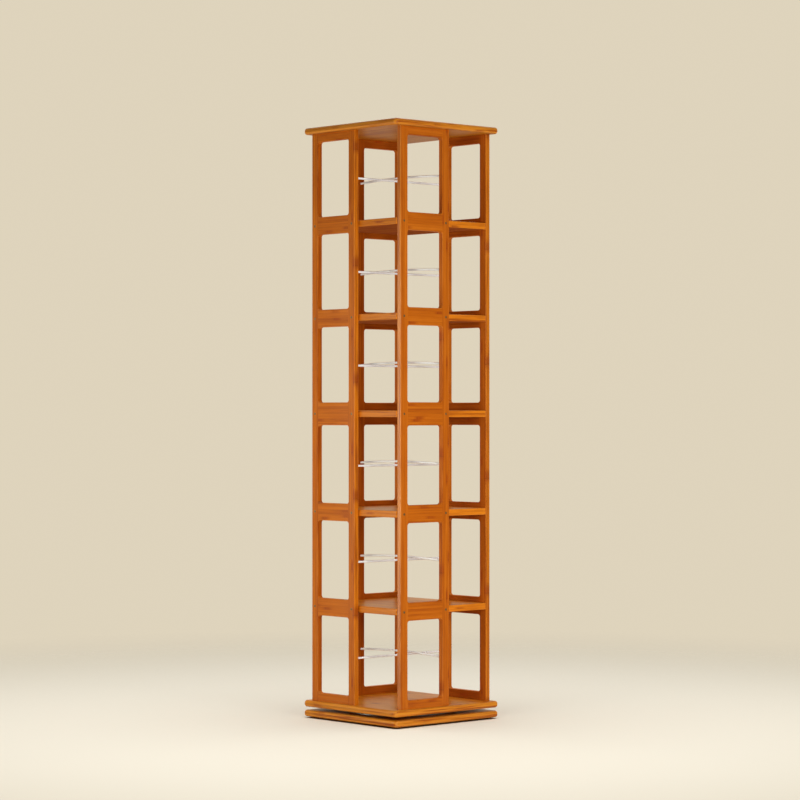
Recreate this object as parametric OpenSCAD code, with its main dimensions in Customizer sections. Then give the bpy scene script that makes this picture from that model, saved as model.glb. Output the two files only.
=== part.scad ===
// Six-tier revolving bookcase in stained bamboo.
// Four ladder frames stand in a pinwheel round square shelves: each side has a frame
// on its left half and an open bay on its right half. The whole case turns on a ball
// bearing that lies between the base plate and the turntable plate.
// Millimetres, +Z up, origin on the floor on the axis of rotation.

/* [Plates] */
// Side of the square base, turntable and top plates
plate_side = 400; // [380:1:460]
// Thickness of the three plates
plate_t = 19; // [16:0.5:25]
// Radius of the plates' corners, seen from above
plate_corner_r = 12; // [8:0.5:20]
// Radius along the plates' edges
plate_edge_r = 8; // [2:0.5:9]
// How far the plates stand out beyond the side frames
plate_overhang = 10.5; // [6:0.5:18]

/* [Shelves] */
// Thickness of a shelf
shelf_t = 19; // [15:0.5:26]
// Radius of a shelf's corners, seen from above
shelf_corner_r = 4; // [3:0.5:8]
// Radius along a shelf's edges
shelf_edge_r = 2; // [1:0.5:2.5]

/* [Side frames] */
// Thickness of the side frames
frame_t = 16; // [14:0.5:20]
// Width of a stile beside a window
stile_w = 26; // [23:0.5:34]
// Radius along a stile's outer edges
stile_edge_r = 2.5; // [1:0.5:4]
// How far a corner stile is set in from the corner of the shelves
corner_setback = 1; // [0:0.5:6]
// Height of the bottom and top rails
end_rail_h = 24; // [20:1:36]
// Height of the rails at the shelves other than the middle one
rail_h = 50; // [40:1:64]
// Height of the rail at the middle shelf
centre_rail_h = 65; // [50:1:84]
// Height of the windows in the three lower tiers
lower_window_h = 223; // [190:1:250]
// Height of the windows in the three upper tiers
upper_window_h = 216; // [190:1:250]
// Radius of the windows' corners
window_corner_r = 8; // [5:0.5:12]
// How far the windows are routed into the stiles
window_relief = 1; // [0.5:0.1:2]
// Width of the chamfer round the windows, on both faces
window_chamfer = 1; // [0.5:0.1:1.5]

/* [Frame joints] */
// Length of the stub tenons on the rails
tenon_l = 8; // [5:0.5:8.5]
// Width of the shoulder round a tenon
tenon_shoulder = 5; // [4:0.5:6]
// Glue gap round a tenon in its mortise
tenon_gap = 0.1; // [0.05:0.05:0.3]

/* [Rods] */
// Diameter of the rods that part the bays
rod_d = 6; // [4:0.5:8]
// Depth to which a rod's end is seated in a stile
rod_seat = 8; // [5:0.5:11]
// Gap round a rod's end in its hole
rod_gap = 0.1; // [0.05:0.05:0.3]
// How far the straight rods, from front to back, lie below the middle of a window
rod_drop = 3.5; // [0:0.5:10]
// Gap between a straight rod and the bowed rod that crosses over it
rod_crossing_gap = 4.5; // [0.5:0.5:8]
// Rise of a bowed rod, from its ends to its middle
rod_bow = 6; // [2:0.5:10]

/* [Case screws] */
// Diameter of a case screw's shank
screw_d = 4; // [3.5:0.5:5]
// Diameter of a case screw's flat head
screw_head_d = 7; // [6.5:0.5:9]
// Length of a case screw
screw_l = 45; // [36:1:60]
// Width across the flats of a screw's hex socket
screw_socket_w = 2.5; // [2:0.5:3]
// Depth of a screw's hex socket
screw_socket_depth = 1.6; // [1:0.1:2]
// Gap round a screw in its hole
screw_gap = 0.1; // [0.05:0.05:0.3]

/* [Turntable bearing] */
// Height of the bearing, which is the gap between base and turntable
bearing_h = 9; // [8.5:0.5:14]
// Radius of the circle that the balls run on
race_r = 134; // [90:1:144]
// Thickness of the rings' sheet
ring_t = 1.8; // [1.2:0.1:2]
// Width of the raised bead that holds a race
bead_w = 10; // [8:0.5:12]
// Width of the flange outside the bead, which takes the screws
outer_flange_w = 14; // [12:0.5:20]
// Width of the flange inside the bead of the upper ring
inner_flange_w = 11; // [4:0.5:20]
// Diameter of a ball
ball_d = 5; // [4:0.5:5.5]
// Number of balls
ball_count = 36; // [12:1:72]
// Gap round a ball in its races and in its cage
ball_gap = 0.1; // [0.05:0.05:0.2]
// Thickness of the ball cage
cage_t = 1; // [0.6:0.1:1.4]
// Running gap between parts of the bearing that pass each other
running_gap = 0.4; // [0.3:0.1:0.5]
// Width of the collar's rolled lip over the upper ring's rim
lip_w = 6; // [4:0.5:8]
// Number of screws in each ring
ring_screw_count = 6; // [3:1:10]
// Diameter of a ring screw's shank
ring_screw_d = 3.5; // [3:0.5:4]
// Diameter of a ring screw's flat head
ring_screw_head_d = 6.5; // [6:0.5:7]
// Length of a ring screw
ring_screw_l = 15; // [10:1:16]
// Width across the flats of a ring screw's hex socket
ring_screw_socket_w = 2; // [1.5:0.5:2.5]
// Depth of a ring screw's hex socket
ring_screw_socket_depth = 1.2; // [0.8:0.1:1.6]
// Diameter of the hole in the base through which the upper ring's screws are driven
access_hole_d = 9; // [8:0.5:10]

/* [Feet] */
// Diameter of a foot
foot_d = 20; // [16:1:32]
// Height of a foot
foot_h = 4; // [3.5:0.5:10]
// Distance of a foot's centre from the edges of the base plate
foot_inset = 29; // [20:1:40]
// Radius round the bottom of a foot
foot_edge_r = 1; // [0.5:0.5:1.5]
// Diameter of a foot screw's shank
foot_screw_d = 3; // [2.5:0.5:4]
// Diameter of a foot screw's head
foot_screw_head_d = 6; // [5:0.5:8]
// Height of a foot screw's head
foot_screw_head_h = 1.6; // [1.2:0.1:2]
// Length of a foot screw's shank
foot_screw_l = 14; // [8:1:17]
// How far a foot screw's head lies above the bottom of its foot
foot_screw_recess = 0.8; // [0.5:0.1:1.2]

/* [Hidden] */
tier_count = 6;
frame_count = 4;
rail_count = tier_count + 1;
shelf_count = tier_count - 1;
quarter = 360 / frame_count;
// How far a cutting shape runs past the face that it cuts
past = 1;

base_z = foot_h;
bearing_z = base_z + plate_t;
turntable_z = bearing_z + bearing_h;
frame_z = turntable_z + plate_t;

window_hs = [for (i = [1 : tier_count]) i <= tier_count / 2 ? lower_window_h : upper_window_h];
rail_hs = [
    for (i = [0 : tier_count])
        i == 0 || i == tier_count ? end_rail_h : i == tier_count / 2 ? centre_rail_h : rail_h
];
// Underside of a rail, counted from 0 at the bottom
function rail_z(i) = i == 0 ? frame_z : rail_z(i - 1) + rail_hs[i - 1] + window_hs[i - 1];
// Middle of a rail, where its shelf lies
function shelf_mid_z(i) = rail_z(i) + rail_hs[i] / 2;
// Middle of a window, near which the rods cross
function window_mid_z(i) = rail_z(i) + rail_hs[i] + window_hs[i] / 2;

top_z = rail_z(tier_count) + end_rail_h;
frame_h = top_z - frame_z;

// A side frame is drawn on the -Y side: its outer face, its inner face, its stiles and rails
frame_face = plate_side / 2 - plate_overhang;
shelf_half = frame_face - frame_t;
corner_stile_x = -(shelf_half - corner_setback);
inner_stile_x = -stile_w / 2 - window_relief;
stile_board_w = stile_w + window_relief;
rail_x = corner_stile_x + stile_board_w;
rail_l = inner_stile_x - rail_x;
window_x = rail_x - window_relief;
window_w = rail_l + 2 * window_relief;
stile_mid_xs = [corner_stile_x + stile_w / 2, 0];
frame_mid_y = -frame_face + frame_t / 2;
tenon_t = frame_t - 2 * tenon_shoulder;

rod_l = 2 * (shelf_half + rod_seat);
// Radius of a bowed rod, and how many facets a full turn at that radius would have
rod_bow_r = (pow(rod_l / 2, 2) + pow(rod_bow, 2)) / (2 * rod_bow);
rod_bow_facets = 720;
rod_facets = 32;
// Middle of a straight rod, and of a bowed rod where it crosses that one
function straight_rod_z(i) = window_mid_z(i) - rod_drop;
function bowed_rod_z(i) = straight_rod_z(i) + rod_d + rod_crossing_gap;

ball_z = bearing_z + bearing_h / 2;
bead_h = bearing_h / 2 - cage_t / 2 - running_gap;
lip_top_z = bearing_h - running_gap;
lip_z = lip_top_z - ring_t;
rim_z = lip_z - running_gap - ring_t;
bead_inner_r = race_r - bead_w / 2;
bead_outer_r = race_r + bead_w / 2;
ring_outer_r = bead_outer_r + outer_flange_w;
ring_screw_r = bead_outer_r + outer_flange_w / 2;
ring_screw_step = 360 / ring_screw_count;
// The upper ring steps down to a rim, which the lower ring's collar and lip hold
step_outer_r = bead_inner_r - inner_flange_w;
step_r = step_outer_r - ring_t;
lip_r = step_r - running_gap;
collar_outer_r = lip_r - lip_w;
collar_r = collar_outer_r - ring_t;
rim_r = collar_outer_r + running_gap;

foot_place = plate_side / 2 - foot_inset;

$fn = 64;

bamboo = "#b8681f";
rail_bamboo = "#a85a1a";
off_white = "#e6e0da";
zinc = "#a9adb0";
dark_steel = "#4a4c46";
black_rubber = "#2a2725";

// A rectangle in the first quadrant whose two corners at the far end in x are round
module round_ended(w, h, r) {
    square([w - r, h]);
    translate([0, r])
        square([w, h - 2 * r]);
    for (y = [r, h - r])
        translate([w - r, y])
            intersection() {
                circle(r);
                translate([0, -r])
                    square([r, 2 * r]);
            }
}

// A square board with round corners and round edges, its underside at z = 0
module board(side, t, corner_r, edge_r) {
    flat = side - 2 * corner_r;
    translate([-flat / 2, -flat / 2, 0])
        cube([flat, flat, t]);
    for (turn = [0 : 90 : 270])
        rotate(turn)
            translate([flat / 2, flat / 2, 0]) {
                rotate_extrude(angle = 90)
                    round_ended(corner_r, t, edge_r);
                rotate([90, 0, 0])
                    linear_extrude(flat)
                        round_ended(corner_r, t, edge_r);
            }
}

// A flat-headed screw that points down, the top of its head at z = 0
module flat_screw(d, head_d, l, socket_w, socket_depth) {
    head_h = (head_d - d) / 2;
    difference() {
        rotate_extrude()
            polygon([[0, 0], [head_d / 2, 0], [d / 2, -head_h], [d / 2, d / 2 - l], [0, -l]]);
        translate([0, 0, -socket_depth])
            cylinder(d = socket_w / cos(30), h = socket_depth + past, $fn = 6);
    }
}

// The countersunk hole that a flat-headed screw leaves, with its clearance
module flat_screw_hole(d, head_d, l) {
    hole_r = d / 2 + screw_gap;
    mouth_r = head_d / 2 + screw_gap;
    rotate_extrude()
        polygon([
            [0, past], [mouth_r, past], [mouth_r, 0],
            [hole_r, hole_r - mouth_r], [hole_r, -l - screw_gap], [0, -l - screw_gap]
        ]);
}

module case_screw() {
    flat_screw(screw_d, screw_head_d, screw_l, screw_socket_w, screw_socket_depth);
}

module case_screw_hole() {
    flat_screw_hole(screw_d, screw_head_d, screw_l);
}

// Places a piece that is drawn on the -Y side in its frame, counted from 1
module in_frame(k) {
    rotate((k - 1) * quarter)
        children();
}

module in_all_frames() {
    for (k = [1 : frame_count])
        in_frame(k)
            children();
}

// The places of the screws that hold one shelf, on both stiles of a frame
module at_shelf_screws(i) {
    for (x = stile_mid_xs)
        translate([x, -frame_face, shelf_mid_z(i)])
            rotate([90, 0, 0])
                children();
}

// The places of a frame's screws that point up into the stiles, their heads flush with the
// underside of the turntable plate
module at_turntable_screws() {
    for (x = stile_mid_xs)
        translate([x, frame_mid_y, turntable_z])
            mirror([0, 0, 1])
                children();
}

// The places of a frame's screws that point down into the stiles
module at_top_plate_screws() {
    for (x = stile_mid_xs)
        translate([x, frame_mid_y, top_z + plate_t])
            children();
}

module at_feet() {
    for (x = [-foot_place, foot_place], y = [-foot_place, foot_place])
        translate([x, y, 0])
            children();
}

module at_ring_screws(start) {
    for (i = [0 : ring_screw_count - 1])
        rotate(start + i * ring_screw_step)
            translate([ring_screw_r, 0, 0])
                children();
}

// Half a screw step on from the lower ring's screws, under one of the upper ring's screws
module at_access_hole() {
    rotate(ring_screw_step / 2)
        translate([ring_screw_r, 0, 0])
            children();
}

module ring_screw() {
    flat_screw(
        ring_screw_d, ring_screw_head_d, ring_screw_l,
        ring_screw_socket_w, ring_screw_socket_depth
    );
}

module ring_screw_hole() {
    flat_screw_hole(ring_screw_d, ring_screw_head_d, ring_screw_l);
}

module base_plate() {
    color(bamboo)
        difference() {
            translate([0, 0, base_z])
                board(plate_side, plate_t, plate_corner_r, plate_edge_r);
            translate([0, 0, bearing_z + ring_t])
                at_ring_screws(0)
                    ring_screw_hole();
            translate([0, 0, base_z - past])
                at_access_hole()
                    cylinder(d = access_hole_d, h = plate_t + 2 * past);
            at_feet()
                foot_screw_hole();
        }
}

module foot_screw_hole() {
    seat_z = foot_screw_recess + foot_screw_head_h;
    translate([0, 0, -past])
        cylinder(d = foot_screw_head_d + 2 * screw_gap, h = seat_z + past);
    cylinder(d = foot_screw_d + 2 * screw_gap, h = seat_z + foot_screw_l + screw_gap);
}

module base_feet() {
    color(black_rubber)
        at_feet()
            difference() {
                rotate_extrude()
                    polygon([
                        [0, 0], [foot_d / 2 - foot_edge_r, 0],
                        [foot_d / 2, foot_edge_r], [foot_d / 2, foot_h], [0, foot_h]
                    ]);
                foot_screw_hole();
            }
}

module foot_screws() {
    color(zinc)
        at_feet()
            translate([0, 0, foot_screw_recess]) {
                cylinder(d = foot_screw_head_d, h = foot_screw_head_h);
                cylinder(d = foot_screw_d, h = foot_screw_head_h + foot_screw_l);
            }
}

// The groove that a ball runs in, all round the ring
module race() {
    translate([0, 0, ball_z])
        rotate_extrude($fn = 128)
            translate([race_r, 0])
                circle(ball_d / 2 + ball_gap);
}

module bearing_lower_ring() {
    color(zinc)
        difference() {
            translate([0, 0, bearing_z])
                rotate_extrude($fn = 128)
                    polygon([
                        [collar_r, 0], [ring_outer_r, 0], [ring_outer_r, ring_t],
                        [bead_outer_r, ring_t], [bead_outer_r, bead_h],
                        [bead_inner_r, bead_h], [bead_inner_r, ring_t],
                        [collar_outer_r, ring_t], [collar_outer_r, lip_z],
                        [lip_r, lip_z], [lip_r, lip_top_z], [collar_r, lip_top_z]
                    ]);
            race();
            translate([0, 0, bearing_z + ring_t])
                at_ring_screws(0)
                    ring_screw_hole();
            translate([0, 0, bearing_z - past])
                at_access_hole()
                    cylinder(d = access_hole_d, h = ring_t + 2 * past);
        }
}

module bearing_lower_screws() {
    color(zinc)
        translate([0, 0, bearing_z + ring_t])
            at_ring_screws(0)
                ring_screw();
}

module ball_cage() {
    color(zinc)
        difference() {
            translate([0, 0, ball_z - cage_t / 2])
                difference() {
                    cylinder(r = bead_outer_r, h = cage_t, $fn = 128);
                    translate([0, 0, -past])
                        cylinder(r = bead_inner_r, h = cage_t + 2 * past, $fn = 128);
                }
            at_balls()
                cylinder(d = ball_d + 2 * ball_gap, h = cage_t + 2 * past, center = true);
        }
}

module at_balls() {
    for (i = [0 : ball_count - 1])
        rotate(i * 360 / ball_count)
            translate([race_r, 0, ball_z])
                children();
}

module bearing_balls() {
    color(zinc)
        at_balls()
            sphere(d = ball_d);
}

module bearing_upper_ring() {
    flange_z = bearing_h - ring_t;
    color(zinc)
        difference() {
            translate([0, 0, bearing_z])
                rotate_extrude($fn = 128)
                    polygon([
                        [rim_r, rim_z], [step_outer_r, rim_z], [step_outer_r, flange_z],
                        [bead_inner_r, flange_z], [bead_inner_r, bearing_h - bead_h],
                        [bead_outer_r, bearing_h - bead_h], [bead_outer_r, flange_z],
                        [ring_outer_r, flange_z], [ring_outer_r, bearing_h],
                        [step_r, bearing_h], [step_r, rim_z + ring_t], [rim_r, rim_z + ring_t]
                    ]);
            race();
            at_upper_ring_screws()
                ring_screw_hole();
        }
}

// The upper ring's screws point up, their heads flush with the underside of its flange
module at_upper_ring_screws() {
    translate([0, 0, turntable_z - ring_t])
        at_ring_screws(ring_screw_step / 2)
            mirror([0, 0, 1])
                children();
}

module bearing_upper_screws() {
    color(zinc)
        at_upper_ring_screws()
            ring_screw();
}

module turntable_plate() {
    color(bamboo)
        difference() {
            translate([0, 0, turntable_z])
                board(plate_side, plate_t, plate_corner_r, plate_edge_r);
            at_upper_ring_screws()
                ring_screw_hole();
            in_all_frames()
                at_turntable_screws()
                    case_screw_hole();
        }
}

module turntable_screws() {
    color(dark_steel)
        in_all_frames()
            at_turntable_screws()
                case_screw();
}

module top_plate() {
    color(bamboo)
        difference() {
            translate([0, 0, top_z])
                board(plate_side, plate_t, plate_corner_r, plate_edge_r);
            in_all_frames()
                at_top_plate_screws()
                    case_screw_hole();
        }
}

module top_plate_screws() {
    color(dark_steel)
        in_all_frames()
            at_top_plate_screws()
                case_screw();
}

// Shelves are counted from 1 at the bottom
module shelf(i) {
    color(bamboo)
        difference() {
            translate([0, 0, shelf_mid_z(i) - shelf_t / 2])
                board(2 * shelf_half, shelf_t, shelf_corner_r, shelf_edge_r);
            in_all_frames()
                at_shelf_screws(i)
                    case_screw_hole();
        }
}

module frame_screws() {
    color(dark_steel)
        in_all_frames()
            for (i = [1 : shelf_count])
                at_shelf_screws(i)
                    case_screw();
}

// The space for one tenon at a stile's window edge at x = 0, reaching in along -x
module mortise(i) {
    translate([-tenon_l - tenon_gap, frame_mid_y - tenon_t / 2 - tenon_gap, 0])
        translate([0, 0, rail_z(i) + tenon_shoulder - tenon_gap])
            cube([
                tenon_l + tenon_gap + past,
                tenon_t + 2 * tenon_gap,
                rail_hs[i] - 2 * tenon_shoulder + 2 * tenon_gap
            ]);
}

// A stile with its window edge at x = 0, its body along -x and round edges on its far side
module stile_blank() {
    translate([0, -frame_face, frame_z])
        mirror([1, 0, 0])
            linear_extrude(frame_h)
                round_ended(stile_board_w, frame_t, stile_edge_r);
}

// All screw holes of one frame's two stiles
module stile_screw_holes() {
    for (i = [1 : shelf_count])
        at_shelf_screws(i)
            case_screw_hole();
    at_turntable_screws()
        case_screw_hole();
    at_top_plate_screws()
        case_screw_hole();
}

// A window's outline, from the origin
module window_outline(w, h) {
    r = window_corner_r;
    translate([r, 0])
        square([w - 2 * r, h]);
    translate([0, r])
        square([w, h - 2 * r]);
    for (x = [r, w - r], y = [r, h - r])
        translate([x, y])
            circle(r);
}

// Widens a window's outline at 45 degrees above z = 0, for the chamfer round it
module window_flare(w, h) {
    r = window_corner_r;
    reach = window_chamfer + past;
    for (x = [r, w - r], y = [r, h - r])
        translate([x, y, 0])
            cylinder(r1 = r, r2 = r + reach, h = reach);
    translate([0, h - r, 0])
        rotate([90, 0, 0])
            linear_extrude(h - 2 * r)
                polygon([[0, 0], [w, 0], [w + reach, reach], [-reach, reach]]);
    translate([r, 0, 0])
        rotate([90, 0, 90])
            linear_extrude(w - 2 * r)
                polygon([[0, 0], [h, 0], [h + reach, reach], [-reach, reach]]);
}

// The space of one window with its chamfers, counted from 0 at the bottom
module window(i) {
    translate([window_x, frame_mid_y, rail_z(i) + rail_hs[i]])
        rotate([90, 0, 0]) {
            translate([0, 0, -frame_t / 2 - past])
                linear_extrude(frame_t + 2 * past)
                    window_outline(window_w, window_hs[i]);
            for (face = [0, 1])
                mirror([0, 0, face])
                    translate([0, 0, frame_t / 2 - window_chamfer])
                        window_flare(window_w, window_hs[i]);
        }
}

module corner_stile(k) {
    color(bamboo)
        in_frame(k)
            difference() {
                translate([rail_x, 0, 0])
                    stile_blank();
                for (i = [0 : tier_count])
                    translate([rail_x, 0, 0])
                        mortise(i);
                for (i = [0 : tier_count - 1])
                    window(i);
                stile_screw_holes();
            }
}

// A rod along Y that is bent to a bow, the middle of the bow's circle at the origin
module bowed_rod(d, l) {
    half_turn = asin(l / 2 / rod_bow_r);
    rotate([0, -90, 0])
        rotate(-half_turn)
            rotate_extrude(angle = 2 * half_turn, $fn = rod_bow_facets)
                translate([rod_bow_r, 0])
                    circle(d = d, $fn = rod_facets);
}

// One tier's rod that ends in frame k, along Y, with a gap all round it where it cuts its hole.
// The rods between frames 1 and 3 are straight, those between frames 2 and 4 are bowed over them.
module rod(k, i, gap = 0) {
    d = rod_d + 2 * gap;
    l = rod_l + 2 * gap;
    if (k % 2 == 1)
        translate([0, 0, straight_rod_z(i)])
            rotate([90, 0, 0])
                cylinder(d = d, h = l, center = true, $fn = rod_facets);
    else
        translate([0, 0, bowed_rod_z(i) - rod_bow_r])
            bowed_rod(d, l);
}

module inner_stile(k) {
    color(bamboo)
        in_frame(k)
            difference() {
                translate([inner_stile_x, 0, 0])
                    mirror([1, 0, 0])
                        stile_blank();
                for (i = [0 : tier_count])
                    translate([inner_stile_x, 0, 0])
                        mirror([1, 0, 0])
                            mortise(i);
                for (i = [0 : tier_count - 1]) {
                    window(i);
                    rod(k, i, rod_gap);
                }
                stile_screw_holes();
            }
}

// A rail's board: the ends reach past its edges, round the windows' corners above and below
module rail_blank(i) {
    below = i == 0 ? 0 : window_corner_r;
    above = i == tier_count ? 0 : window_corner_r;
    translate([rail_x, -frame_face, rail_z(i) - below])
        cube([rail_l, frame_t, below + rail_hs[i] + above]);
    translate([rail_x - tenon_l, frame_mid_y - tenon_t / 2, rail_z(i) + tenon_shoulder])
        cube([rail_l + 2 * tenon_l, tenon_t, rail_hs[i] - 2 * tenon_shoulder]);
}

// Rails are counted from 1 at the bottom
module rail(k, number) {
    i = number - 1;
    color(rail_bamboo)
        in_frame(k)
            difference() {
                rail_blank(i);
                if (i > 0)
                    window(i - 1);
                if (i < tier_count)
                    window(i);
            }
}

// One rod in every tier
module rods(k) {
    color(off_white)
        in_frame(k)
            for (i = [0 : tier_count - 1])
                rod(k, i);
}

base_plate();
base_feet();
foot_screws();
bearing_lower_ring();
bearing_lower_screws();
ball_cage();
bearing_balls();
bearing_upper_ring();
bearing_upper_screws();
turntable_plate();
turntable_screws();
for (i = [1 : shelf_count])
    shelf(i);
for (k = [1 : frame_count]) {
    corner_stile(k);
    inner_stile(k);
    for (i = [1 : rail_count])
        rail(k, i);
}
frame_screws();
rods(1);  // front_to_back_rods
rods(2);  // side_to_side_rods
top_plate();
top_plate_screws();
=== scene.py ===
import math
from dataclasses import dataclass

import bpy
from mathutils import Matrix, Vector


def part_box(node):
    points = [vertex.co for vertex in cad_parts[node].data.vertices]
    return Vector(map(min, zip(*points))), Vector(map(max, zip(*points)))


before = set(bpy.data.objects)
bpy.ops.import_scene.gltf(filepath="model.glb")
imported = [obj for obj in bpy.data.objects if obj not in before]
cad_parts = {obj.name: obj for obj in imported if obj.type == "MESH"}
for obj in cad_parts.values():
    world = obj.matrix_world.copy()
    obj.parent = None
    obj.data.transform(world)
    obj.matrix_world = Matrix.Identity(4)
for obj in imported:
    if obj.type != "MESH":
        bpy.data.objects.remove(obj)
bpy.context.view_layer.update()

MM = 0.001
AXES = "XYZ"

# The photograph's view: a level camera far off, at the corner between the -Y and +X sides
IMAGE_SIDE = 800
SENSOR_MM = 36.0
VIEW_TURN = math.radians(47.724)
VIEW_DISTANCE = 7.676
EYE_HEIGHT = 0.8825
FOCAL_PIXELS = 2664.0
CENTRE_PIXEL = (400.92, 411.73)

# Pieces that share a finish
RODS = ("front_to_back_rods", "side_to_side_rods")
DARK_SCREWS = ("frame_screws", "top_plate_screws", "turntable_screws")
ZINC_PIECES = (
    "bearing_lower_ring", "bearing_upper_ring", "ball_cage",
    "bearing_lower_screws", "bearing_upper_screws", "foot_screws",
)
# The stile by which the case is turned, so that hands have polished its edge
HANDLED_STILE = "frame_2_corner_stile"

# The bamboo's stain from dark to light, and the tone of the lipped boards' faces; all colours are linear
RUSSET = (0.345, 0.064, 0.003, 1)
AMBER = (0.520, 0.122, 0.004, 1)
HONEY = (0.640, 0.175, 0.010, 1)
OCHRE_FACE = (0.590, 0.245, 0.016, 1)

# Marks in the stain
KNUCKLE = (0.190, 0.032, 0.003, 1)
REDDISH = (0.340, 0.052, 0.003, 1)
GLUE_LINE = (0.230, 0.048, 0.004, 1)
RUBBED_EDGE = (0.720, 0.300, 0.070, 1)

# Edges that hands have rubbed: a lighter, golden tone that also paints the sheen and light these edges
# catch
GOLDEN_RIM_AND_SHEEN = (0.810, 0.245, 0.010, 1)
BRIGHT_RIM_AND_LIGHT = (0.930, 0.285, 0.010, 1)
GOLDEN_LIP_AND_SHEEN = (0.740, 0.270, 0.020, 1)

# What the stain is multiplied by on broad faces that are turned away: a painted shade, for the
# undersides and inward faces where less light falls
PLATE_UNDERSIDE_SHADE = (0.86, 0.88, 0.80, 1)
SHELF_UNDERSIDE_SHADE = (0.66, 0.46, 0.40, 1)
RAIL_INSIDE_SHADE = (0.72, 0.64, 0.80, 1)
STILE_INSIDE_SHADE = (0.86, 0.80, 0.90, 1)

# The darker and the paler tone of each other finish
ROD_WHITES = (0.85, 0.87, 0.87, 1), (0.89, 0.91, 0.91, 1)
BRONZES = (0.108, 0.064, 0.020, 1), (0.260, 0.155, 0.050, 1)
# The zinc greys are kept dark, which partly paints the shade of the narrow gap that the bearing rings
# sit in
ZINC_GREYS = (0.20, 0.21, 0.22, 1), (0.32, 0.33, 0.34, 1)
STEEL_GREYS = (0.58, 0.59, 0.61, 1), (0.70, 0.71, 0.72, 1)
RUBBER_BLACKS = (0.018, 0.017, 0.016, 1), (0.050, 0.046, 0.041, 1)

# The stage
PALE_BACKGROUND = (0.735, 0.655, 0.505, 1)
PALE_FLOOR = (0.780, 0.750, 0.655, 1)
SOFT_FILL = (1.0, 0.96, 0.90, 1)
FILL_STRENGTH = 0.05
FLOOR_RADIUS = 6.0
FLOOR_FADE = (0.9, 3.2)
CASE_MIDDLE = (0.0, 0.0, 0.80)
WARM_LIGHT = (1.0, 0.97, 0.93)
LEFT_LIGHT = (0.98, 1.0, 0.86)
SHEEN_LIGHT = (0.98, 1.0, 0.80)
ROD_LIGHT = (1.0, 1.0, 1.0)

# How boards are glued up from strips and layers; the slack keeps a surface out of the next strip
WIDE_STRIP_W = 20 * MM
WIDE_LAYER_T = 6.4 * MM
RAIL_STRIP_W = 7.0 * MM
STILE_STRIP_W = 6.5 * MM
FRAME_LAYER_T = 16 * MM
EDGE_SLACK = 0.05 * MM
GLUE_LINE_W = (0.30 * MM, 0.06 * MM)
# A lipping counts as a strip of its own, so far past the first one beyond the board
LIPPING_STRIP = 3.5

# What is left to chance: the seed's step from board to board, and how far a strip shifts along the grain
SEED_STEP = 17
GRAIN_SHIFT = 40.0
KNUCKLE_SHIFT = 9.0

# The figure's scales along and across the grain
BAND_SCALES = (5.0, 150.0)
STREAK_SCALES = (6.0, 460.0)
FIBRE_SCALES = (30.0, 2400.0)
CLOUD_SCALES = (7.0, 22.0)

# Knuckles, where the cane had its joints: a thin mark and, a little to one side, a wide halo
KNUCKLE_STEP = 0.33
KNUCKLE_WAVER = 9 * MM
KNUCKLE_W = (2.6 * MM, 0.4 * MM)
HALO_W = (28 * MM, 3 * MM)
HALO_SHIFT = 8 * MM
KNUCKLE_CHANCE = (0.40, 1.0)

# How squarely a surface has to face one way, or not to, to count as one of these; 1 is squarely
LIPPED_END = 0.55
ARRIS = (0.97, 0.80)
RIM = (0.90, 0.50)
SHADED_FACE = (0.5, 0.9)

# How far the strip's own tone and each scale of the figure move the stain between dark and light
STRIP_SHARE = 0.25
BAND_SHARE = 0.95
STREAK_SHARE = 0.50
FIBRE_SHARE = 0.60
CLOUD_SHARE = 0.45
STAIN_STOPS = [(0.10, RUSSET), (0.50, AMBER), (0.90, HONEY)]

# Where in the stain or the clouds a tone comes in, and how strongly each tone covers the stain
FACE_LEVELS = (0.10, 0.80)
WORN_AND_SHEEN_LEVELS = (0.00, 0.75)
ARRIS_CLOUDS = (0.40, 0.62)
FACE_COVER = 0.75
WORN_AND_SHEEN_COVER = 0.95
HALO_COVER = 0.75
KNUCKLE_COVER = 0.40
GLUE_COVER = 0.30
ARRIS_COVER = 0.35

# Roughness of the coat, and what is added to it
COAT_ROUGHNESS = 0.31
ARRIS_ROUGHER = 0.08
DULL_ROUGHER = 0.25
STREAK_ROUGHER = 0.12
FIBRE_ROUGHER = 0.10

# How far each of these stands up or lies deep in the surface
FIBRE_RELIEF = 0.5
STREAK_RELIEF = 0.3
GLUE_RELIEF = -0.5
KNUCKLE_RELIEF = -0.4


class Value:
    """An output of a finish's nodes. Arithmetic on it adds Math nodes."""

    def __init__(self, finish, socket):
        self.finish = finish
        self.socket = socket

    def output(self, name):
        """Another output of the same node."""
        return Value(self.finish, self.socket.node.outputs[name])

    def math(self, operation, *others):
        return self.finish.math(operation, self, *others)

    def __add__(self, other):
        return self.math("ADD", other)

    __radd__ = __add__

    def __sub__(self, other):
        return self.math("SUBTRACT", other)

    def __rsub__(self, other):
        return self.finish.math("SUBTRACT", other, self)

    def __mul__(self, other):
        return self.math("MULTIPLY", other)

    __rmul__ = __mul__

    def __abs__(self):
        return self.math("ABSOLUTE")

    def floor(self):
        return self.math("FLOOR")

    def fraction(self):
        return self.math("FRACT")

    def over(self, low, high):
        """0 below low and 1 above high, or the other way round where low is the larger."""
        sockets = {"Value": self, "From Min": low, "From Max": high}
        return self.finish.node("ShaderNodeMapRange", {"interpolation_type": "SMOOTHSTEP"}, sockets)


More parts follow.
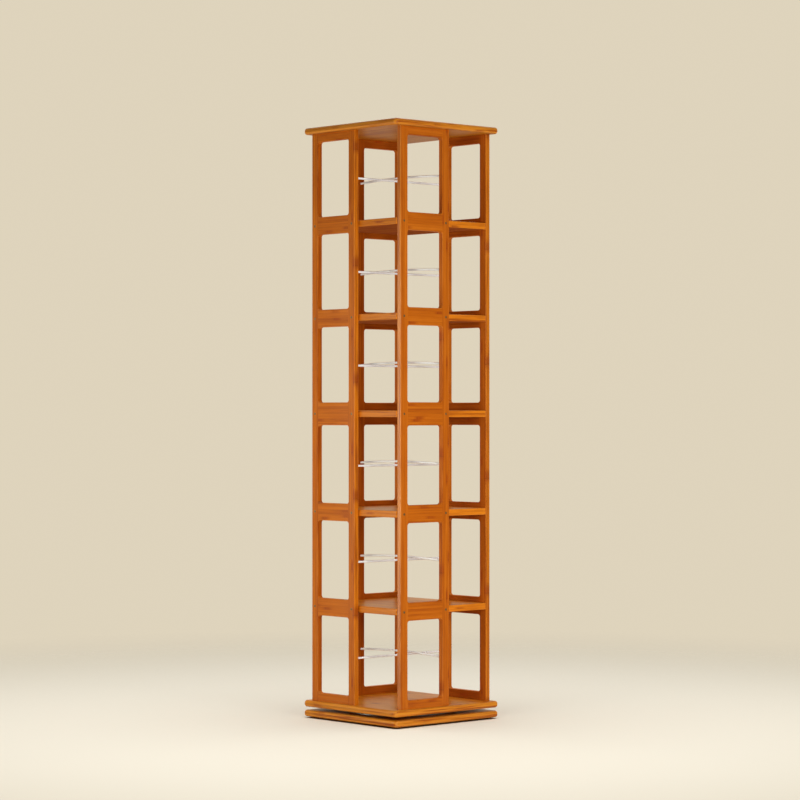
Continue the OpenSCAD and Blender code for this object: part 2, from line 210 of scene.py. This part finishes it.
class Finish:
    """The nodes of one surface finish, in the material or world that owns them."""

    def __init__(self, owner):
        owner.use_nodes = True
        self.owner = owner
        self.tree = owner.node_tree
        self.tree.nodes.clear()

    def node(self, kind, settings=None, sockets=None, output=0):
        """Adds one node, with its settings first and then the values or links of its sockets."""
        made = self.tree.nodes.new(kind)
        for key, value in (settings or {}).items():
            if key == "stops":
                self.set_stops(made.color_ramp, value)
            else:
                setattr(made, key, value)
        for key, value in (sockets or {}).items():
            if isinstance(value, Value):
                self.tree.links.new(value.socket, made.inputs[key])
            else:
                made.inputs[key].default_value = value
        return Value(self, made.outputs[output]) if made.outputs else None

    @staticmethod
    def set_stops(ramp, stops):
        while len(ramp.elements) < len(stops):
            ramp.elements.new(1.0)
        for element, (place, colour) in zip(ramp.elements, stops):
            element.position = place
            element.color = colour

    def math(self, operation, *values):
        return self.node("ShaderNodeMath", {"operation": operation}, dict(enumerate(values)))

    def mix(self, first, second, factor, blend="MIX"):
        """Blends two colours. The node has sockets for other kinds too, so these go by their numbers."""
        settings = {"data_type": "RGBA", "blend_type": blend}
        return self.node("ShaderNodeMix", settings, {0: factor, 6: first, 7: second}, output=2)

    def parts(self, vector):
        """The three numbers of a vector or colour."""
        first = self.node("ShaderNodeSeparateXYZ", sockets={0: vector})
        return [first, first.output(1), first.output(2)]

    def vector(self, x, y, z):
        return self.node("ShaderNodeCombineXYZ", sockets={0: x, 1: y, 2: z})

    def place(self):
        """The point on the piece, in metres, in the piece's own axes."""
        return self.node("ShaderNodeTexCoord", output="Object")

    def facing(self):
        """The direction that the surface faces, in the piece's own axes."""
        return self.node("ShaderNodeTexCoord", output="Normal")

    def noise(self, place, scale=1.0, detail=3.0, roughness=0.55):
        sockets = {"Vector": place, "Scale": scale, "Detail": detail, "Roughness": roughness}
        return self.node("ShaderNodeTexNoise", sockets=sockets)

    def bump(self, height, strength, depth):
        sockets = {"Strength": strength, "Distance": depth, "Height": height}
        return self.node("ShaderNodeBump", sockets=sockets)

    def surface(self, sockets):
        """Ends the finish in one Principled shader."""
        shader = self.node("ShaderNodeBsdfPrincipled", sockets=sockets)
        self.node("ShaderNodeOutputMaterial", sockets={"Surface": shader})
        return self.owner


@dataclass
class Board:
    """What the bamboo finish needs to know of one board."""

    node: str
    # The axes along the grain, and across its strips
    grain: str
    across: str
    strip_w: float
    layer_t: float
    # Which of the two broad faces, -1 or 1, is turned away; it is painted darker as shade and made matt
    shaded_side: int
    shade_tint: tuple
    shaded_side_matt: float = 0.69
    lipped: bool = False
    # Which of the two edges across the grain, -1 and 1, hands have rubbed, with a painted sheen on them
    worn_and_sheen_edges: tuple = ()
    # The rubbed edges' tone, partly a painted sheen, and their polish, and how much stronger all edges'
    # bands are than the faces'
    edge_tone: tuple = GOLDEN_RIM_AND_SHEEN
    edge_polish: float = 0.05
    edge_bands: float = 0.6

    def divided(self, axis, size):
        """Where the board starts on an axis, and the number and size of the equal parts that fill it."""
        low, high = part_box(self.node)
        length = high[axis] - low[axis] + 2 * EDGE_SLACK
        count = max(1, round(length / size))
        return low[axis] - EDGE_SLACK, count, length / count


class Bamboo(Finish):
    """Amber-stained bamboo, glued up from strips that run along one axis of a board."""

    def __init__(self, board, seed):
        super().__init__(bpy.data.materials.new(f"bamboo_{board.node}"))
        self.board = board
        self.seed = float(seed)
        self.find_place()
        self.cut_strips()
        self.draw_grain()
        self.draw_knuckles()
        self.find_edges()

    def find_place(self):
        """Where a point lies along, across and through the board, and how far it faces each way."""
        along, across = AXES.index(self.board.grain), AXES.index(self.board.across)
        self.axes = along, across, 3 - along - across
        spot = self.parts(self.place())
        facing = self.parts(self.facing())
        self.along, self.across, self.through = (spot[axis] for axis in self.axes)
        self.faces_end, self.faces_side, self.faces_out = (facing[axis] for axis in self.axes)

    def cut_strips(self):
        """The strip that a point lies in, what is drawn for that strip, and the glue line beside it."""
        along, across = self.along, self.across
        strip_start, strips, strip_w = self.board.divided(self.axes[1], self.board.strip_w)
        layer_start, _, layer_t = self.board.divided(self.axes[2], self.board.layer_t)
        strip = (across - strip_start) * (1 / strip_w)
        layer = (self.through - layer_start) * (1 / layer_t)
        if self.board.lipped:
            # The board's ends are closed by a lipping, whose grain runs along the edge
            at_end = abs(self.faces_end).math("GREATER_THAN", LIPPED_END)
            self.along = along + (across - along) * at_end
            self.across = across + (along - across) * at_end
            strip = strip * (1 - at_end) + at_end * (strips + LIPPING_STRIP)
        key = {"Vector": self.vector(strip.floor(), layer.floor(), self.seed)}
        chance = self.node("ShaderNodeTexWhiteNoise", {"noise_dimensions": "3D"}, key, output="Color")
        self.tone, self.shift, self.presence = self.parts(chance)
        from_joint = 0.5 - abs(strip.fraction() - 0.5)
        self.glue_line = (from_joint * strip_w).over(*GLUE_LINE_W)

    def drawn_out(self, start, along, across, **noise):
        """Noise drawn out along the grain, with its scales along and across it."""
        spot = self.vector(self.along * along + start, self.across * across, self.through * across)
        return self.noise(spot, **noise)

    def draw_grain(self):
        """Bands, streaks and fibres, which break at each strip, and clouds, which pass over them."""
        start = self.shift * GRAIN_SHIFT + self.seed
        self.band = self.drawn_out(start, *BAND_SCALES, detail=2.0)
        self.streak = self.drawn_out(start, *STREAK_SCALES)
        self.fibre = self.drawn_out(start, *FIBRE_SCALES, detail=2.0, roughness=0.7)
        self.cloud = self.drawn_out(self.seed, *CLOUD_SCALES, detail=2.0)

    def draw_knuckles(self):
        """The marks and halos of the knuckles, which show in some strips only."""
        place = (self.along * (1 / KNUCKLE_STEP) + self.shift * KNUCKLE_SHIFT).fraction() - 0.5
        distance = place * KNUCKLE_STEP + (self.streak - 0.5) * KNUCKLE_WAVER
        shown = self.presence.over(*KNUCKLE_CHANCE)
        self.knuckle = abs(distance).over(*KNUCKLE_W) * shown
        self.halo = abs(distance - HALO_SHIFT).over(*HALO_W) * shown

    def find_edges(self):
        """Arrises rubbed thin, edges rubbed golden with a painted sheen, edges that stay dull, and the
        face in painted shade.
        """
        board = self.board
        out = abs(self.faces_out)
        flatness = out.math("MAXIMUM", abs(self.faces_end)).math("MAXIMUM", abs(self.faces_side))
        self.rubbed = flatness.over(*ARRIS) * self.cloud.over(*ARRIS_CLOUDS)
        # The face that is turned away is painted in shade
        self.dark = self.faces_out.over(*(board.shaded_side * limit for limit in SHADED_FACE))
        self.rim = out.over(*RIM)
        self.worn_and_sheen = self.rim
        self.dull = self.rim
        if len(board.worn_and_sheen_edges) == 1:
            side = self.faces_side.math("SIGN") * (0.5 * board.worn_and_sheen_edges[0])
            self.worn_and_sheen = self.rim * (0.5 + side)
            self.dull = self.rim - self.worn_and_sheen

    def stain(self):
        """The stain's colour, between dark and light, with its edges and marks, the painted shade of the
        face turned away and the painted sheen of the rubbed edges.
        """
        board = self.board
        fine = (self.streak - 0.5) * STREAK_SHARE + (self.fibre - 0.5) * FIBRE_SHARE
        coarse = (self.tone - 0.5) * STRIP_SHARE + (self.cloud - 0.5) * CLOUD_SHARE
        bands = (self.band - 0.5) * (BAND_SHARE + self.rim * board.edge_bands)
        level = 0.5 + coarse + bands + fine
        colour = self.node("ShaderNodeValToRGB", {"stops": STAIN_STOPS}, {"Fac": level})
        if board.lipped:
            face = (1 - self.rim) * level.over(*FACE_LEVELS)
            colour = self.mix(colour, OCHRE_FACE, face * FACE_COVER)
        # Painted shade: the face turned away is multiplied darker
        colour = self.mix(colour, board.shade_tint, self.dark, blend="MULTIPLY")
        # Rubbed edges: a lighter tone, partly a painted sheen
        if board.worn_and_sheen_edges:
            worn_and_sheen = self.worn_and_sheen * level.over(*WORN_AND_SHEEN_LEVELS)
            colour = self.mix(colour, board.edge_tone, worn_and_sheen * WORN_AND_SHEEN_COVER)
        colour = self.mix(colour, REDDISH, self.halo * HALO_COVER)
        colour = self.mix(colour, KNUCKLE, self.knuckle * KNUCKLE_COVER)
        colour = self.mix(colour, GLUE_LINE, self.glue_line * GLUE_COVER)
        return self.mix(colour, RUBBED_EDGE, self.rubbed * ARRIS_COVER)

    def roughness(self):
        """The coat is rougher on arrises, dull edges and the face in painted shade, and follows the
        fibres.
        """
        fine = (self.streak - 0.5) * STREAK_ROUGHER + (self.fibre - 0.5) * FIBRE_ROUGHER
        coat = COAT_ROUGHNESS + fine + self.rubbed * ARRIS_ROUGHER + self.dark * self.board.shaded_side_matt
        if len(self.board.worn_and_sheen_edges) < 2:
            coat = coat + self.dull * DULL_ROUGHER
        return coat

    def material(self):
        """The finished material, with the relief of the fibres and of the marks."""
        board = self.board
        raised = self.fibre * FIBRE_RELIEF + self.streak * STREAK_RELIEF
        height = raised + self.glue_line * GLUE_RELIEF + self.knuckle * KNUCKLE_RELIEF
        sockets = {
            "Base Color": self.stain(),
            "Roughness": self.roughness(),
            "Specular IOR Level": 0.10,
            "Normal": self.bump(height, 0.22, 0.3 * MM),
        }
        if board.worn_and_sheen_edges:
            sockets["Coat Weight"] = self.worn_and_sheen * board.edge_polish
            sockets["Coat Roughness"] = 0.30
        return self.surface(sockets)


def rod_coat():
    """Off-white gloss coating on steel rod."""
    finish = Finish(bpy.data.materials.new("rod_coat"))
    cloud = finish.noise(finish.place(), scale=60.0, detail=4.0)
    peel = finish.noise(finish.place(), scale=900.0, detail=1.0)
    return finish.surface({
        "Base Color": finish.mix(*ROD_WHITES, cloud.over(0.35, 0.65)),
        "Roughness": 0.30 + (cloud - 0.5) * 0.16,
        "Specular IOR Level": 0.30,
        "Normal": finish.bump(peel, 0.04, 0.1 * MM),
    })


def dark_screw_metal():
    """Bronzed steel, worn a little lighter in patches."""
    finish = Finish(bpy.data.materials.new("dark_screw_metal"))
    wear = finish.noise(finish.place(), scale=700.0, detail=4.0)
    return finish.surface({
        "Base Color": finish.mix(*BRONZES, wear.over(0.40, 0.70)),
        "Metallic": 0.60,
        "Roughness": 0.46 + (wear - 0.5) * 0.30,
        "Normal": finish.bump(wear, 0.10, 0.1 * MM),
    })


def zinc_plate():
    """Pressed steel with the crystals of its zinc plating."""
    finish = Finish(bpy.data.materials.new("zinc_plate"))
    cells = {"Vector": finish.place(), "Scale": 140.0}
    crystal = finish.parts(finish.node("ShaderNodeTexVoronoi", sockets=cells, output="Color"))[0]
    grit = finish.noise(finish.place(), scale=400.0, detail=4.0)
    return finish.surface({
        "Base Color": finish.mix(*ZINC_GREYS, crystal * 0.6 + grit * 0.4),
        "Metallic": 1.0,
        "Roughness": 0.34 + crystal * 0.14 + (grit - 0.5) * 0.12,
        "Normal": finish.bump(grit, 0.06, 0.1 * MM),
    })


def ball_steel():
    """Polished steel with faint running marks."""
    finish = Finish(bpy.data.materials.new("ball_steel"))
    marks = finish.noise(finish.place(), scale=1500.0)
    return finish.surface({
        "Base Color": finish.mix(*STEEL_GREYS, marks),
        "Metallic": 1.0,
        "Roughness": 0.10 + marks * 0.12,
    })


def foot_rubber():
    """Matt black rubber with a moulded grain."""
    finish = Finish(bpy.data.materials.new("foot_rubber"))
    grain = finish.noise(finish.place(), scale=1300.0)
    dust = finish.noise(finish.place(), detail=4.0)
    return finish.surface({
        "Base Color": finish.mix(*RUBBER_BLACKS, grain * 0.6 + dust * 0.4),
        "Roughness": 0.66 + (grain - 0.5) * 0.24,
        "Normal": finish.bump(grain, 0.25, 0.2 * MM),
    })


def middle_of(node):
    low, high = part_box(node)
    return (low + high) / 2


def frame_axes(node):
    """The level axis that a frame's board lies along, and the sign of the way in on the other one."""
    low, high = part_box(node)
    level, out = ("X", "Y") if high.x - low.x > high.y - low.y else ("Y", "X")
    inward = -1 if middle_of(node)[AXES.index(out)] > 0 else 1
    return level, inward


def wide_board(node, shade_tint):
    """A plate or shelf, with a lipping at its ends and its underside in painted shade."""
    board = Board(node, "X", "Y", WIDE_STRIP_W, WIDE_LAYER_T, -1, shade_tint)
    board.lipped = True
    board.worn_and_sheen_edges = (-1, 1)
    return board


def plate_board(node):
    """A plate's edges show its layers more, and its underside keeps some gloss."""
    board = wide_board(node, PLATE_UNDERSIDE_SHADE)
    board.edge_tone = GOLDEN_LIP_AND_SHEEN
    board.edge_bands = 1.6
    board.shaded_side_matt = 0.10
    return board


def rail_board(node):
    """A rail's edges close a window or meet a plate, so that none is rubbed; its inward face is in
    painted shade.
    """
    level, inward = frame_axes(node)
    return Board(node, level, "Z", RAIL_STRIP_W, FRAME_LAYER_T, inward, RAIL_INSIDE_SHADE)


def stile_board(node):
    """A stile is rubbed, and painted with a sheen, on the edge that is turned away from its frame's
    rails; its inward face is in painted shade.
    """
    level, inward = frame_axes(node)
    board = Board(node, "Z", level, STILE_STRIP_W, FRAME_LAYER_T, inward, STILE_INSIDE_SHADE)
    frame_name = node.rsplit("_", 2)[0]
    to_rails = (middle_of(frame_name + "_rail_1") - middle_of(node))[AXES.index(level)]
    board.worn_and_sheen_edges = (-1,) if to_rails > 0 else (1,)
    if "_inner_" in node:
        # The inner stile's rubbed edge is painted brighter, as light falling on it
        board.edge_tone = BRIGHT_RIM_AND_LIGHT
    if node == HANDLED_STILE:
        board.edge_polish = 0.35
    return board


def board_of(node):
    """The board that a node is, or None where it is another kind of piece."""
    if node.endswith("_plate"):
        return plate_board(node)
    if node.startswith("shelf_"):
        return wide_board(node, SHELF_UNDERSIDE_SHADE)
    if "_rail_" in node:
        return rail_board(node)
    if node.endswith("_stile"):
        return stile_board(node)
    return None


def dress(node, material):
    """Gives a CAD node its finish."""
    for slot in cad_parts[node].material_slots:
        slot.material = material


def dress_boards():
    """Every board has its own strips."""
    boards = [board for board in map(board_of, sorted(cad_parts)) if board]
    for number, board in enumerate(boards, start=1):
        dress(board.node, Bamboo(board, number * SEED_STEP).material())


def dress_fittings():
    for pieces, material in (
        (RODS, rod_coat()),
        (DARK_SCREWS, dark_screw_metal()),
        (ZINC_PIECES, zinc_plate()),
        (("bearing_balls",), ball_steel()),
        (("base_feet",), foot_rubber()),
    ):
        for node in pieces:
            dress(node, material)


def seen_directly(finish):
    """1 for rays from the camera, and for those that gloss or glass sends on; else 0."""
    ray = finish.node("ShaderNodeLightPath")
    seen = ray.output("Is Camera Ray") + ray.output("Is Glossy Ray") + ray.output("Is Transmission Ray")
    return seen.math("MINIMUM", 1.0)


def make_floor():
    """A pale round floor that fades into the background and keeps the shadow."""
    bpy.ops.mesh.primitive_circle_add(vertices=96, radius=FLOOR_RADIUS, fill_type="NGON")
    floor = bpy.context.object
    floor.name = "floor"
    finish = Finish(bpy.data.materials.new("pale_floor"))
    from_middle = {0: finish.place()}
    reach = finish.node("ShaderNodeVectorMath", {"operation": "LENGTH"}, from_middle, output="Value")
    lit = finish.node("ShaderNodeBsdfDiffuse", sockets={"Color": PALE_FLOOR})
    clear = finish.node("ShaderNodeBsdfTransparent")
    faded = finish.node("ShaderNodeMixShader", sockets={0: reach.over(*FLOOR_FADE), 1: lit, 2: clear})
    finish.node("ShaderNodeOutputMaterial", sockets={"Surface": faded})
    floor.data.materials.append(finish.owner)
    return floor


def make_background():
    """A pale even background; what diffuse surfaces get from it is a weak fill."""
    finish = Finish(bpy.data.worlds.new("pale_studio"))
    shown = finish.node("ShaderNodeBackground", sockets={"Color": PALE_BACKGROUND, "Strength": 1.0})
    fill = finish.node("ShaderNodeBackground", sockets={"Color": SOFT_FILL, "Strength": FILL_STRENGTH})
    both = finish.node("ShaderNodeMixShader", sockets={0: seen_directly(finish), 1: fill, 2: shown})
    finish.node("ShaderNodeOutputWorld", sockets={"Surface": both})
    bpy.context.scene.world = finish.owner


def light_list(name, pieces, state):
    """What a lamp lights: the pieces alone, or everything but them."""
    listed = bpy.data.collections.new(name)
    for piece in pieces:
        listed.objects.link(piece)
    for entry in listed.collection_objects:
        entry.light_linking.link_state = state
    return listed


def softbox(
    name, lights, place, size, power, colour=WARM_LIGHT, aim=CASE_MIDDLE, diffuse=True, glossy=True
):
    """A lamp for the pieces in a light list, for their diffuse light, their gloss or both."""
    lamp = bpy.data.lights.new(name, "AREA")
    lamp.shape = "RECTANGLE"
    lamp.size, lamp.size_y = size
    lamp.energy = power
    lamp.color = colour
    box = bpy.data.objects.new(name, lamp)
    bpy.context.scene.collection.objects.link(box)
    box.location = place
    box.rotation_euler = (Vector(aim) - Vector(place)).to_track_quat("-Z", "Y").to_euler()
    box.light_linking.receiver_collection = lights
    box.visible_diffuse = diffuse
    box.visible_glossy = glossy


def make_lights(floor):
    """The floor has its own even light, so that the lamps near it leave no pools on it."""
    floor_only = light_list("lights_floor_only", [floor], "INCLUDE")
    case = light_list("lights_all_but_floor", [floor], "EXCLUDE")
    rods_only = light_list("lights_rods_only", [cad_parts[node] for node in RODS], "INCLUDE")
    softbox("floor_softbox", floor_only, (0.45, -0.4, 3.6), (5.2, 5.2), 268, aim=(0.3, -0.25, 0.0))
    softbox("left_strip_softbox", case, (-0.35, -1.40, 0.90), (0.25, 0.9), 8.2, LEFT_LIGHT)
    softbox("left_high_softbox", case, (-0.2, -2.0, 2.6), (1.0, 1.0), 3.2, LEFT_LIGHT)
    softbox("front_softbox", case, (1.9, -0.8, 0.95), (0.6, 1.0), 21)
    softbox("right_high_softbox", case, (2.0, -0.3, 2.6), (1.0, 1.0), 11)
    softbox("right_softbox", case, (2.0, 0.3, 0.8), (0.6, 1.2), 3)
    softbox("far_left_softbox", case, (-2.6, 0.1, 1.5), (1.2, 1.2), 24, glossy=False)
    softbox("far_right_softbox", case, (0.5, 2.6, 1.5), (1.2, 1.2), 24, glossy=False)
    softbox("high_back_softbox", case, (-1.0, 1.0, 3.3), (1.4, 1.4), 32)
    softbox("left_sheen", case, (-0.80, -1.28, 0.75), (0.30, 1.4), 12, SHEEN_LIGHT, diffuse=False)
    softbox("rod_softbox", rods_only, (2.2, -2.0, 1.0), (1.2, 0.5), 25, ROD_LIGHT)


def make_camera():
    """The level camera, with a small shift that gives the photograph's framing."""
    lens = bpy.data.cameras.new("photo_camera")
    lens.sensor_width = SENSOR_MM
    lens.lens = FOCAL_PIXELS / IMAGE_SIDE * SENSOR_MM
    lens.shift_x = -(CENTRE_PIXEL[0] - IMAGE_SIDE / 2) / IMAGE_SIDE
    lens.shift_y = (CENTRE_PIXEL[1] - IMAGE_SIDE / 2) / IMAGE_SIDE
    camera = bpy.data.objects.new("photo_camera", lens)
    bpy.context.scene.collection.objects.link(camera)
    camera.location = (
        VIEW_DISTANCE * math.sin(VIEW_TURN), -VIEW_DISTANCE * math.cos(VIEW_TURN), EYE_HEIGHT,
    )
    camera.rotation_euler = (math.pi / 2, 0.0, VIEW_TURN)
    bpy.context.scene.camera = camera


dress_boards()
dress_fittings()
make_lights(make_floor())
make_background()
make_camera()
bpy.context.scene.view_settings.view_transform = "Standard"
